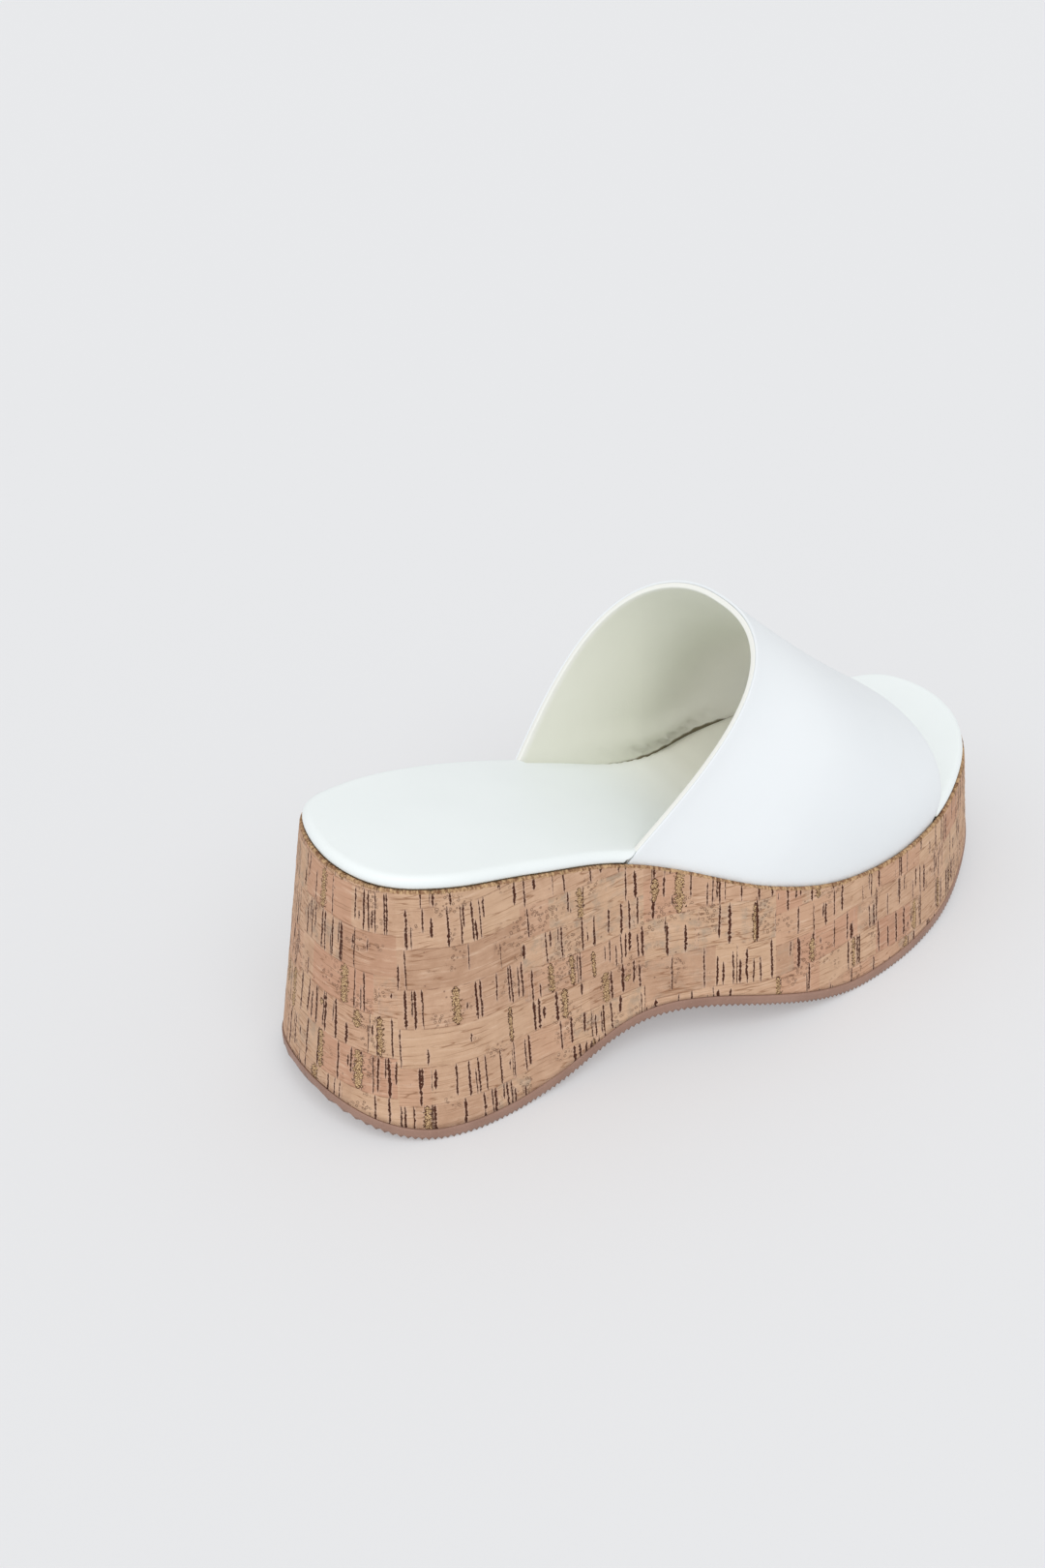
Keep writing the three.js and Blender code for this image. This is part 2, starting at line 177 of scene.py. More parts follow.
def crease_strength(x):
    """1 where the cover and the lining meet in a sharp crease on the inner side, 0 at heel and toe."""
    return smooth_step(x, 84, 140) * (1 - smooth_step(x, 165, 203))


def above_crease(points):
    """Height over the line where the footbed's raised inner edge meets the lining."""
    x = points[..., 0]
    return points[..., 2] - edge_z(x) - COVER_HIGH - ARCH_SUPPORT * crease_strength(x)


# ---- Meshes --------------------------------------------------------------------------------------

def to_row(points):
    """Millimetres from the heel of the top edge to metres in the row frame."""
    return (points + ORIGIN) * MM


def grid_quads(columns, rows):
    """Quads over a grid of points that is numbered column by column, and whose columns are rings."""
    column = np.arange(columns - 1)[:, None]
    row = np.arange(rows)[None, :]
    next_row = (row + 1) % rows
    corners = [(column, row), (column + 1, row), (column + 1, next_row), (column, next_row)]
    return np.stack([(c * rows + r).ravel() for c, r in corners], -1)


def piece(name, grid, material, slot, stands_for=(), ends="caps", **attributes):
    """A closed body over a grid whose rows close on themselves. Its ends get caps, or are merged."""
    columns, rows = grid.shape[:2]
    faces = [tuple(q) for q in grid_quads(columns, rows)]
    if ends == "caps":
        last = (columns - 1) * rows
        faces.append(tuple(range(rows)))
        faces.append(tuple(range(last + rows - 1, last - 1, -1)))
    mesh = bpy.data.meshes.new(name)
    mesh.from_pydata(to_row(grid.reshape(-1, 3)).tolist(), [], faces)
    for key, values in attributes.items():
        kind = "FLOAT" if values.ndim == 2 else "FLOAT_VECTOR"
        layer = mesh.attributes.new(key, kind, "POINT")
        layer.data.foreach_set("value" if kind == "FLOAT" else "vector", values.ravel())
    clean(mesh)
    mesh.shade_smooth()
    made = bpy.data.objects.new(name, mesh)
    bpy.context.scene.collection.objects.link(made)
    mesh.materials.append(material)
    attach(made, "root")
    if stands_for:
        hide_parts(*stands_for)
    return made


def clean(mesh):
    """Merges doubled points, drops empty faces and turns every face outwards."""
    work = bmesh.new()
    work.from_mesh(mesh)
    bmesh.ops.remove_doubles(work, verts=work.verts, dist=0.005 * MM)
    bmesh.ops.dissolve_degenerate(work, edges=work.edges, dist=0.002 * MM)
    bmesh.ops.recalc_face_normals(work, faces=work.faces)
    if work.calc_volume(signed=True) < 0:
        bmesh.ops.reverse_faces(work, faces=work.faces)
    work.to_mesh(mesh)
    work.free()


# ---- Cork wrap -----------------------------------------------------------------------------------

WALL_STEP = 0.42  # length of a mesh column round the wall
WALL_ROWS, LIP_ROWS = 36, 5
RELIEF = 0.07  # depth of the veneer's uneven face
SEAM = 0.22  # open line between the outsole and the cork's foot
LIP_FRAY = 0.2  # how far the lip's fibres stand up or down


def equal_steps(side, turn_from, turn_to, step):
    """Turns along one side of the platform's edge that are about equally far apart."""
    turns = np.linspace(turn_from, turn_to, 4000)
    plan = edge_point(side, turns, np.zeros_like(turns))
    length = np.concatenate([[0], np.cumsum(np.linalg.norm(np.diff(plan, axis=0), axis=1))])
    count = max(2, int(round(length[-1] / step)))
    return np.interp(np.linspace(0, length[-1], count + 1), length, turns)


def round_platform(step):
    """Stretches of the platform's edge, from the seam round the toe and the heel back to the seam."""
    return [
        ("inner", equal_steps("inner", WRAP_SEAM + WRAP_SEAM_GAP, 1, step)[:-1]),
        ("outer", equal_steps("outer", 1, 0, step)[:-1]),
        ("inner", equal_steps("inner", 0, WRAP_SEAM - WRAP_SEAM_GAP, step)),
    ]


def wall_columns(side, turns):
    """The cork wall's section at each turn, from its foot up over the lip and down its back."""
    flare = flare_at(turns, side)

    def point(share, inset, rise=0.0):
        """share is 0 at the foot and 1 where the lip starts, and rise is from there."""
        plan = edge_point(side, turns, flare * (1 - share) - inset)
        low, high = outsole_top_z(plan[:, 0]) + SEAM, edge_z(plan[:, 0]) - WRAP_LIP
        return np.column_stack([plan, low + (high - low) * share + rise])

    face = [point(i / WALL_ROWS, 0) for i in range(WALL_ROWS)]
    lip = [
        point(1, WRAP_THICKNESS * 0.5 * (1 - math.cos(a)), WRAP_LIP * math.sin(a))
        for a in np.linspace(0, math.pi / 2, LIP_ROWS)
    ]
    back = [point(1, WRAP_THICKNESS, WRAP_LIP * 0.9), point(0, WRAP_THICKNESS)]
    return np.stack([*face, *lip, *back], 1)


def cork_wrap():
    """The veneer. Its points know where on the flat strip they lie, and whether on its lip."""
    stretches = round_platform(WALL_STEP)
    grid = np.concatenate([wall_columns(side, turns) for side, turns in stretches])
    steps = np.linalg.norm(np.diff(grid[:, 0, :2], axis=0), axis=1)
    along = np.concatenate([[0], np.cumsum(steps)])
    height = grid[:, :, 2].copy()
    on_lip = np.zeros_like(height)
    on_lip[:, WALL_ROWS + 1:] = 1
    wall = np.stack([np.repeat(along[:, None], height.shape[1], 1), height, on_lip], -1)
    roughen(grid)
    return piece("cork_wrap_veneer", grid, cork_material(), "cork", ["cork_wrap"], wall=wall * MM)


def roughen(grid):
    """Makes the wall's face slightly uneven and frays the lip."""
    rng = np.random.default_rng(11)
    along = np.gradient(grid[:, 0, :2], axis=0)
    inward = np.stack([-along[:, 1], along[:, 0]], -1)
    inward /= np.linalg.norm(inward, axis=1, keepdims=True)
    face = slice(1, WALL_ROWS)
    dents = RELIEF * np.abs(smooth_noise(rng, len(grid), WALL_ROWS - 1, 5))
    grid[:, face, :2] += inward[:, None, :] * dents[..., None]
    lip = slice(WALL_ROWS + 1, WALL_ROWS + LIP_ROWS)
    grid[:, lip, 2] += LIP_FRAY * smooth_noise(rng, len(grid), LIP_ROWS - 1, 1).clip(-2, 1.3)


def smooth_noise(rng, columns, rows, width):
    """Random numbers about 0, each row smoothed over a width of some columns."""
    noise = rng.normal(0, 1, (columns, rows))
    kernel = np.ones(width) / math.sqrt(width)
    return np.stack([np.convolve(noise[:, i], kernel, "same") for i in range(rows)], 1)


# ---- Outsole -------------------------------------------------------------------------------------

def outsole_outline(side):
    """x and y of the outsole's edge on one side, from heel to toe."""
    turns = np.linspace(0, 1, 3000)
    return edge_point(side, turns, flare_at(turns, side) + OUTSOLE_PROUD)


def rib_stations(low, high):
    """x of the mesh columns: four to a rib, and closer together at both tips."""
    quarter = RIB_PITCH / 4
    stations = quarter * np.arange(math.ceil(low / quarter) + 1, math.floor(high / quarter))
    tips = quarter * np.linspace(0.1, 1, 7)[:-1] ** 2
    stations = np.concatenate([low + tips, stations, high - tips[::-1]])
    return np.unique(stations.round(5))


def rib_height(x):
    """Height of the grooves between the ribs over the ribs' tips, with flat tips and flat grooves."""
    wave = np.abs((x / RIB_PITCH) % 1 - 0.5) * 2
    return RIB_DEPTH * np.clip(wave * 1.35 - 0.12, 0, 1)


def outsole():
    outline = {side: outsole_outline(side) for side in ("outer", "inner")}
    x = rib_stations(outline["outer"][0, 0], outline["outer"][-1, 0])
    y = {side: np.interp(x, plan[:, 0], plan[:, 1]) for side, plan in outline.items()}
    half_width = (y["inner"] - y["outer"]) / 2
    top, tip = outsole_top_z(x), underside_z(x)

    def row(side, inset, z):
        inwards = 1 if side == "outer" else -1
        return np.column_stack([x, y[side] + inwards * np.minimum(inset, half_width), z])

    edge = [(0.9, top), (0.35, top - 0.02), (0.06, top - 0.25), (0, top - 0.8), (0.05, tip + 1.3)]
    edge.append((0.12, tip + rib_height(x)))
    sides = {side: [row(side, inset, z) for inset, z in edge] for side in ("outer", "inner")}
    rows = sides["outer"] + sides["inner"][::-1]
    material = rubber_material()
    return piece("outsole_ribbed", np.stack(rows, 1), material, "outsole_rubber", ["outsole"])


# ---- Insole --------------------------------------------------------------------------------------

INSOLE_STATIONS, INSOLE_ACROSS = 170, 26
SWELL = 1.1  # how far the cushion may rise over its foam, at most
CREASE = 3.2  # depth of the groove between cover and lining
PUCKERS_AT = 126  # x of the groove's most puckered stretch


def insole_turns():
    """Stations along the insole, closer together where the upper starts and ends."""
    turns = np.linspace(0, 1, INSOLE_STATIONS)
    for side in SIDES:
        for end in (0, 1):
            low, high = (band_edge_x(side, end, height) for height in (COVER_LOW, COVER_HIGH))
            around = np.arange(min(low, high) - 2, max(low, high) + 2, 0.6)
            turns = np.concatenate([turns, turn_at(around)])
    turns = np.unique(turns.round(5))
    return turns[np.concatenate([[True], np.diff(turns) > 0.001])]


def cover_profile():
    """The cover's rolled edge as inset and height, from under the cover up onto its top."""
    angles = np.linspace(0, math.pi / 2, 7)
    under = [(0.9, COVER_LOW), (0.25, COVER_LOW)]
    roll = [
        (COVER_ROLL * (1 - math.cos(a)), COVER_HIGH - COVER_ROLL * (1 - math.sin(a))) for a in angles
    ]
    return under + roll


def cover_edge(side, turns, extra, height):
    """A line along one side of the cover, further in where the upper stands beside it."""
    tucked = COVER_INSET_IN_UPPER - SIDES[side]["bulge"][0] * height / BULGE_HEIGHT
    inset = COVER_INSET + (tucked - COVER_INSET) * beside_upper(edge_x(turns), side, height)
    plan = edge_point(side, turns, -(inset + extra))
    return np.column_stack([plan, edge_z(plan[:, 0]) + height])


def insole_cover():
    """The white cover, rolled down at its edge and padded by the foam under it.

    Its points know how far across they lie, and whether the band covers them, where the material paints
    shade and a reflection of the lining.
    """
    turns = insole_turns()
    profile = cover_profile()
    outer, inner = ([cover_edge(side, turns, *p) for p in profile] for side in ("outer", "inner"))
    shares = np.linspace(0, 1, INSOLE_ACROSS + 2)[1:-1]
    top = [outer[-1] + (inner[-1] - outer[-1]) * share for share in shares]
    grid = np.stack([*outer, *top, *inner[::-1]], 1)
    across = np.concatenate([np.zeros(len(profile)), shares, np.ones(len(profile))])
    x = edge_x(turns)
    # Where the band covers the footbed: the material paints shade and a creamy reflection of the lining
    # there.
    covered = smooth_step(x, 95, 150) * (1 - smooth_step(x, 180, 205))
    made = piece(
        "insole_cover_soft", grid, insole_material(), "insole_white",
        ["insole_cover", "insole_foam"], ends="merged",
        across=np.repeat(across[None, :], len(turns), 0),
        covered=np.repeat(covered[:, None], grid.shape[1], 1),
    )
    swell(made)
    shape_inner_edge(made)
    made.modifiers.new("smooth", "SUBSURF").levels = 1


def point_values(mesh, name):
    values = np.zeros(len(mesh.vertices))
    mesh.attributes[name].data.foreach_get("value", values)
    return values


def point_places(mesh):
    places = np.zeros(len(mesh.vertices) * 3)
    mesh.vertices.foreach_get("co", places)
    return places.reshape(-1, 3)


def swell(made):
    """Blows the cover up a little like a cushion by cloth simulation, with its rolled edge held."""
    across = point_values(made.data, "across")
    held = made.vertex_groups.new(name="held")
    held.add(np.flatnonzero((across <= 0) | (across >= 1)).tolist(), 1.0, "REPLACE")
    cloth = made.modifiers.new("cloth", "CLOTH")
    cloth.settings.vertex_group_mass = held.name
    cloth.settings.use_pressure = True
    cloth.settings.uniform_pressure_force = 4
    cloth.settings.effector_weights.gravity = 0
    cloth.collision_settings.use_collision = False
    for number in range(1, 21):
        bpy.context.scene.frame_set(number)
    swollen = made.evaluated_get(bpy.context.evaluated_depsgraph_get()).data
    rest = point_places(made.data)
    move = point_places(swollen) - rest
    size = np.linalg.norm(move, axis=1, keepdims=True)
    move *= SWELL * MM / (SWELL * MM + size)
    made.modifiers.remove(cloth)
    made.vertex_groups.clear()
    made.data.vertices.foreach_set("co", (rest + move).ravel())
    bpy.context.scene.frame_set(1)


def shape_inner_edge(made):
    """Raises the arch support under the band and sinks a puckered crease where the lining meets it."""
    places = point_places(made.data)
    x = places[:, 0] / MM - ORIGIN[0]
    away = 1 - point_values(made.data, "across")
    puckers = 1 + 0.3 * np.sin(x * 1.25) * np.exp(-(((x - PUCKERS_AT) / 15) ** 2))
    support = ARCH_SUPPORT * np.exp(-((away / 0.3) ** 2))
    crease = CREASE * puckers * np.exp(-((away / 0.028) ** 2))
    above_underside = places[:, 2] / MM > edge_z(x) + COVER_LOW + 0.5
    places[:, 2] += (support - crease) * crease_strength(x) * above_underside * MM
    made.data.vertices.foreach_set("co", places.ravel())


# ---- Upper ---------------------------------------------------------------------------------------

ARCH_STEPS = 100
BAND_STEPS = 105
EDGE_RADIUS = 0.3
OUTER_THICKNESS = 0.8
LINING_BACK, LINING_FACE = 1.8, 2.5  # depths of the lining's faces below the band's outer face
LINING_EDGE_BACK = 0.85  # the same at the free edges, where the lining turns over the backing
FOLD_DEPTH, PUCKER_DEPTH = 2.0, 0.75  # of the lining over the crease on its inner side


def half_path(side, v):
    """One side of the band's outer face, from its lasting margin up to the crest.

    v runs from 0 at the throat to 1 at the toe opening.
    """
    values = {key: a + (b - a) * v for key, (a, b) in SIDES[side].items()}
    turn = turn_at([values["x"]])
    out = -1 if side == "outer" else 1

    def margin(inset, depth):
        plan = edge_point(side, turn, -SIDE_INSET - inset)
        return np.array([*plan[0], edge_z(plan[0, 0]) - depth])

    base = margin(0, 0)
    turned_in = [
        margin(MARGIN_RADIUS * (1 - math.cos(a)), MARGIN_DEPTH - MARGIN_RADIUS * (1 - math.sin(a)))
        for a in np.linspace(math.pi / 2, 0, 7)
    ]
    apex = APEX["throat"] + (APEX["toe"] - APEX["throat"]) * v
    apex[2] -= CREST_SAG * 4 * v * (1 - v)
    angle = math.pi / 2 * np.linspace(0, 1, ARCH_STEPS + 1)
    power = 2 / values["power"]
    across = np.maximum(np.cos(angle), 0) ** power
    up = np.sin(angle) ** power
    rise = np.column_stack([
        base[0] + (apex[0] - base[0]) * up,
        apex[1] + (base[1] - apex[1]) * across + out * values["bulge"] * np.sin(2 * angle),
        base[2] + (apex[2] - base[2]) * up,
    ])
    return np.vstack([margin(MARGIN_WIDTH, MARGIN_DEPTH), *turned_in, rise])


def band_row(v):
    """The band's outer face at v, from its outer lasting margin over the crest to the inner one."""
    return np.vstack([half_path("outer", v), half_path("inner", v)[::-1][1:]])


def band_depth(v, depth):
    """Points of the band at v, sunk by depth below its outer face."""
    small = 0.003
    before, row, after = band_row(v - small), band_row(v), band_row(v + small)
    across = np.gradient(row, axis=0)
    normal = np.cross(across, after - before)
    normal /= np.maximum(np.linalg.norm(normal, axis=1, keepdims=True), 1e-9)
    return row + normal * np.reshape(depth, (-1, 1))


def band_shell(profile):
    """A grid across the band: each column runs once round the closed profile of (v, depth)."""
    return np.stack([band_depth(v, depth) for v, depth in profile], 1)


def rounded_profile(shallow, deep, radius, edge_shallow=None):
    """A closed profile between two depths, with rounded free edges. The edges may be thicker."""
    high = shallow if edge_shallow is None else edge_shallow
    reach = radius / BAND_LENGTH
    turn = [(1 - math.sin(a), 1 - math.cos(a)) for a in np.linspace(0, math.pi / 2, 5)]
    start = [(reach * along, high + radius * down) for along, down in turn]
    finish = [(reach * along, deep - radius * down) for along, down in turn]
    face = [(v, shallow) for v in np.linspace(0.02, 0.98, BAND_STEPS)]
    step = [] if edge_shallow is None else [(0.006, high), (0.008, shallow)]
    front = [*start[::-1], *step, *face, *[(1 - v, d) for v, d in step[::-1] + start]]
    back = [(v, deep) for v in np.linspace(0.98, 0.02, BAND_STEPS)]
    return [*front, *[(1 - v, d) for v, d in finish[::-1]], *back, *finish]


def upper_outer():
    grid = band_shell(rounded_profile(0, OUTER_THICKNESS, EDGE_RADIUS))
    return piece("upper_outer_skin", grid, upper_material(), "upper_white", ["upper_outer"])


def upper_lining():
    """The lining, with values for its material: bare rim, deep inside for painted light, and height
    above the crease for a painted shadow line.
    """
    profile = rounded_profile(LINING_BACK, LINING_FACE, EDGE_RADIUS, LINING_EDGE_BACK)
    folds = [lining_fold(v) if depth == LINING_FACE else 0 for v, depth in profile]
    grid = band_shell([(v, depth + fold) for (v, depth), fold in zip(profile, folds)])
    share = np.array([v for v, _ in profile])
    rim = (np.minimum(share, 1 - share) < 0.007).astype(float)
    # Painted light: the lining's colour is made lighter deep inside the band, where shade falls.
    deep = smooth_step(share, 0.3, 0.7)
    # Height above the crease, which the material turns into a painted dark shadow line along it; the
    # waves make that painted shade ragged.
    above = above_crease(grid)
    above += 0.2 * pucker_waves(share[None, :], above)
    open_length = np.minimum(1.7 * crease_strength(grid[..., 0]), 1)
    above = np.where(grid[..., 1] > INNER_SIDE_Y, above, 0) * open_length
    return piece(
        "upper_lining_skin", grid, lining_material(), "lining_cream", ["upper_lining"],
        rim=np.repeat(rim[None, :], len(grid), 0),
        deep=np.repeat(deep[None, :], len(grid), 0),
        above=above,
    )


def lining_fold(v):
    """Extra depth of the lining's face at v: a fold over the crease, with small slanting puckers."""
    row = band_row(v)
    above = above_crease(row)
    fold = FOLD_DEPTH * np.exp(-(((above - 3) / 4) ** 2))
    puckers = PUCKER_DEPTH * pucker_waves(v, above) * np.exp(-(((above + 0.6) / 1.7) ** 2))
    return (fold + puckers) * (row[:, 1] > INNER_SIDE_Y) * math.exp(-(((v - 0.46) / 0.2) ** 2))


def pucker_waves(v, above):
    """Uneven waves along the crease that lean as they rise from it, about 0."""
    along = v * BAND_LENGTH
    return np.sin(along * 1.3 + above * 1.9) + 0.6 * np.sin(along * 0.75 + above * 1.3)


# ---- Materials -----------------------------------------------------------------------------------

class Look:
    """One material and the nodes that feed its Principled shader.

    Sizes of patterns and depths of bumps are in millimetres, coordinates in metres.
    """

    def __init__(self, name, roughness=0.5, metallic=0.0, specular=0.5):
        self.material = bpy.data.materials.new(name)
        self.material.use_nodes = True
        self.tree = self.material.node_tree
        self.shader = self.tree.nodes["Principled BSDF"]
        self.shader.inputs["Roughness"].default_value = roughness
        self.shader.inputs["Metallic"].default_value = metallic
        self.shader.inputs["Specular IOR Level"].default_value = specular

    def node(self, kind, inputs=None, **settings):
        """A new node. Its inputs are numbers, colours or other nodes' outputs."""
        made = self.tree.nodes.new(kind)
        for key, value in settings.items():
            setattr(made, key, value)
        for key, value in (inputs or {}).items():
            if isinstance(value, bpy.types.NodeSocket):
                self.tree.links.new(value, made.inputs[key])
            else:
                made.inputs[key].default_value = value
        return made

    def feed(self, socket, output):
        self.tree.links.new(output, self.shader.inputs[socket])

    def place(self, stretch=(1, 1, 1), attribute=None):
        """Coordinates in metres, in the row frame or from an attribute, stretched."""
        if attribute:
            source = self.node("ShaderNodeAttribute", attribute_name=attribute).outputs["Vector"]
        else:
            source = self.node("ShaderNodeTexCoord").outputs["Object"]
        scaled = self.node("ShaderNodeVectorMath", {0: source, 1: stretch}, operation="MULTIPLY")
        return scaled.outputs["Vector"]

    def noise(self, place, size_mm, detail=3.0, roughness=0.5, distortion=0.0):
        """Soft random values about 0.5, with features of the given size."""
        inputs = {
            "Vector": place, "Scale": 1 / (size_mm * MM), "Detail": detail,
            "Roughness": roughness, "Distortion": distortion,
        }
        return self.node("ShaderNodeTexNoise", inputs).outputs["Fac"]

    def cells(self, place, size_mm, feature="F1"):
        inputs = {"Vector": place, "Scale": 1 / (size_mm * MM)}
        return self.node("ShaderNodeTexVoronoi", inputs, feature=feature).outputs

    def calc(self, operation, a, b=0.0, c=0.0):
        return self.node("ShaderNodeMath", {0: a, 1: b, 2: c}, operation=operation).outputs[0]

    def split(self, vector):
        """The three parts of a vector or a colour."""
        return tuple(self.node("ShaderNodeSeparateXYZ", {0: vector}).outputs)

    def swing(self, share, reach):
        """A value from -reach/2 to reach/2, from one between 0 and 1."""
        return self.calc("MULTIPLY_ADD", share, reach, -reach / 2)

    def chance(self, a, b):
        """Three random numbers for each pair of whole numbers a and b."""
        pair = self.node("ShaderNodeCombineXYZ", {0: a, 1: b}).outputs[0]
        return self.node("ShaderNodeTexWhiteNoise", {"Vector": pair}).outputs["Color"]

    def remap(self, value, low, high, to_low=0.0, to_high=1.0):
        """A value between low and high, stretched to another range and held inside it."""
        inputs = {
            "Value": value, "From Min": low, "From Max": high, "To Min": to_low, "To Max": to_high,
        }
        return self.node("ShaderNodeMapRange", inputs).outputs[0]

    def mix(self, share, a, b):
        """Colour a where share is 0, colour b where it is 1."""
        made = self.node("ShaderNodeMix", data_type="RGBA")
        for socket, value in ((made.inputs[0], share), (made.inputs[6], a), (made.inputs[7], b)):
            if isinstance(value, bpy.types.NodeSocket):
                self.tree.links.new(value, socket)
            else:
                socket.default_value = (*value, 1) if isinstance(value, tuple) else value
        return made.outputs[2]

    def bump(self, height, depth_mm, under=None):
        inputs = {"Height": height, "Distance": depth_mm * MM}
        if under:
            inputs["Normal"] = under
        return self.node("ShaderNodeBump", inputs).outputs["Normal"]


CORK_ROW, CORK_PANEL, CORK_BLOCK = 12.0, 41.0, 26.0  # typical height and widths, in millimetres
SLIT_BROWN = (0.07, 0.02, 0.009)
FINE_SLITS = {"spacing": 4.6, "present": 0.58, "half": 0.36, "full": 0.6}
DENSE_SLITS = {"spacing": 1.9, "present": 0.85, "half": 0.3, "full": 0.6}
GASHES = {"spacing": 7.5, "present": 0.17, "half": 1.15, "full": 0.75}
FAR_OUTSIDE = 9.0  # millimetres, for a place that has no slit
ROWS_WITH_DENSE_SLITS = (0.54, 0.52)  # all or none of them, by the row's smooth random value
STREAK = (0.12, 1, 1)  # squeezes the pattern's coordinates so that it runs along the wall


def cork_places(look):
    """A point's place on the cork wall: along, share of its row's height, keys of its row and block.

    The wall is divided into panels, each panel into rows that don't line up with its neighbours'
    and each row into blocks. The keys are random numbers.
    """
    along, height, _ = look.split(look.place((1000, 1000, 1000), "wall"))
    waver = look.noise(look.place((1, 0.6, 1), "wall"), 2.6, 1)
    along = look.calc("ADD", along, look.swing(waver, 0.5))
    panel = look.calc("FLOOR", look.calc("DIVIDE", along, CORK_PANEL))
    shift, stretch, _ = look.split(look.chance(panel, 3.0))
    row_height = look.calc("MULTIPLY_ADD", stretch, 4.0, CORK_ROW - 2)
    slope = look.swing(look.noise(look.place((1, 0.2, 1), "wall"), 45, 1), 0.8)
    lift = look.calc("MULTIPLY_ADD", shift, 5.0, slope)
    place = look.calc("ADD", look.calc("DIVIDE", height, row_height), lift)
    row = look.calc("FLOOR", place)
    share = look.calc("FRACT", place)
    key, start, _ = look.split(look.chance(row, panel))
    start = look.calc("MULTIPLY", start, 3.0)
    block = look.calc("FLOOR", look.calc("MULTIPLY_ADD", along, 1 / CORK_BLOCK, start))
    block_key = look.calc("MULTIPLY_ADD", block, 7.31, look.calc("MULTIPLY", key, 91.0))
    return along, share, key, block_key


def cork_slits(look, along, share, key, spacing, present, half, full):
    """How far inside an upright slit a point lies, in millimetres, at most one slit to each spacing.

    present is the share of places that have a slit, half its half width, and full the share of
    slits that run up the whole row.
    """
    shifted = look.calc("MULTIPLY_ADD", key, 777.0, look.calc("DIVIDE", along, spacing))
    inputs = {"W": shifted, "Scale": 1.0}
    near = look.node("ShaderNodeTexVoronoi", inputs, voronoi_dimensions="1D").outputs
    here, foot, top = look.split(near["Color"])
    lean = look.swing(foot, 0.8)
    off = look.calc("MULTIPLY", look.calc("SUBTRACT", shifted, near["W"]), spacing)
    off = look.calc("MULTIPLY_ADD", lean, look.calc("SUBTRACT", share, 0.5), off)
    off = look.calc("ABSOLUTE", off)

    low = look.remap(foot, full, 1.0, 0.0, 0.6)
    high = look.remap(top, full, 1.0, 1.0, 0.45)
    ends = look.calc("MINIMUM", look.calc("SUBTRACT", share, low), look.calc("SUBTRACT", high, share))
    taper = look.remap(ends, -0.02, 0.1, 0.0, 1.0)
    ragged = look.remap(look.noise(look.place(attribute="wall"), 0.9, 2), 0.3, 0.7, 0.2, 1.6)
    broad = look.remap(here, 0.0, present, 0.5 * half, 1.35 * half)
    width = look.calc("MULTIPLY", look.calc("MULTIPLY", taper, ragged), broad)

    missing = look.calc("GREATER_THAN", here, present)
    absent = look.calc("MAXIMUM", missing, look.calc("LESS_THAN", ends, 0.0))
    return look.calc("MULTIPLY_ADD", absent, -FAR_OUTSIDE, look.calc("SUBTRACT", width, off))


def cork_ground(look, flat, block_key):
    """Mottled base colour, with warmer, darker, peach and greyish blocks."""
    warm, peach, grey = look.split(look.chance(block_key, 1.0))
    mottle = look.noise(flat, 7, 5, 0.65)
    base = look.mix(look.remap(mottle, 0.3, 0.7), (0.475, 0.282, 0.18), (0.665, 0.437, 0.297))
    base = look.mix(look.remap(warm, 0.2, 1.0, 0.0, 0.7), base, (0.64, 0.43, 0.28))
    base = look.mix(look.remap(warm, 0.3, 0.0, 0.0, 0.4), base, (0.42, 0.24, 0.15))
    base = look.mix(look.remap(peach, 0.6, 1.0, 0, 0.65), base, (0.54, 0.28, 0.185))
    cloud = look.remap(look.noise(flat, 5, 4, 0.7), 0.48, 0.66)
    patchy = look.calc("MULTIPLY", cloud, look.remap(grey, 0.62, 0.85, 0, 0.62))
    return look.mix(patchy, base, (0.33, 0.27, 0.21))


def cork_layers(look, flat, share, streaks, base):
    """The base with the streaks and hairlines of the bark's layers and the borders between rows."""
    base = look.mix(look.remap(streaks, 0.52, 0.75, 0, 0.35), base, (0.33, 0.18, 0.11))
    base = look.mix(look.remap(streaks, 0.44, 0.25, 0, 0.6), base, (0.76, 0.55, 0.4))
    bends = look.noise(look.place(STREAK, "wall"), 3.2, 2)
    height = look.split(look.place((0, 420, 0), "wall"))[1]
    layers = look.calc("MULTIPLY_ADD", bends, 5.0, height)
    hairline = look.remap(look.calc("PINGPONG", layers, 0.5), 0.1, 0.0, 0, 0.9)
    hairline = look.calc("MULTIPLY", hairline, look.remap(look.noise(flat, 11, 2), 0.38, 0.52))
    base = look.mix(hairline, base, (0.3, 0.15, 0.08))
    border = look.remap(look.calc("PINGPONG", share, 0.5), 0.025, 0.0, 0, 0.75)
    border = look.calc("MULTIPLY", border, look.remap(look.noise(flat, 4, 2), 0.44, 0.56))
    return look.mix(border, base, (0.25, 0.12, 0.07))


def cork_specks(look, flat):
    """1 on the small rings, which lie in patches, and on the pores."""
    patch = look.remap(look.noise(flat, 13, 2), 0.54, 0.6)
    rings = look.cells(flat, 1.25)["Distance"]
    rings = look.remap(look.calc("ABSOLUTE", look.calc("SUBTRACT", rings, 0.3)), 0.1, 0.03)
    pores = look.remap(look.cells(flat, 5.3)["Distance"], 0.07, 0.04)
    return look.calc("MAXIMUM", look.calc("MULTIPLY", rings, patch), pores)


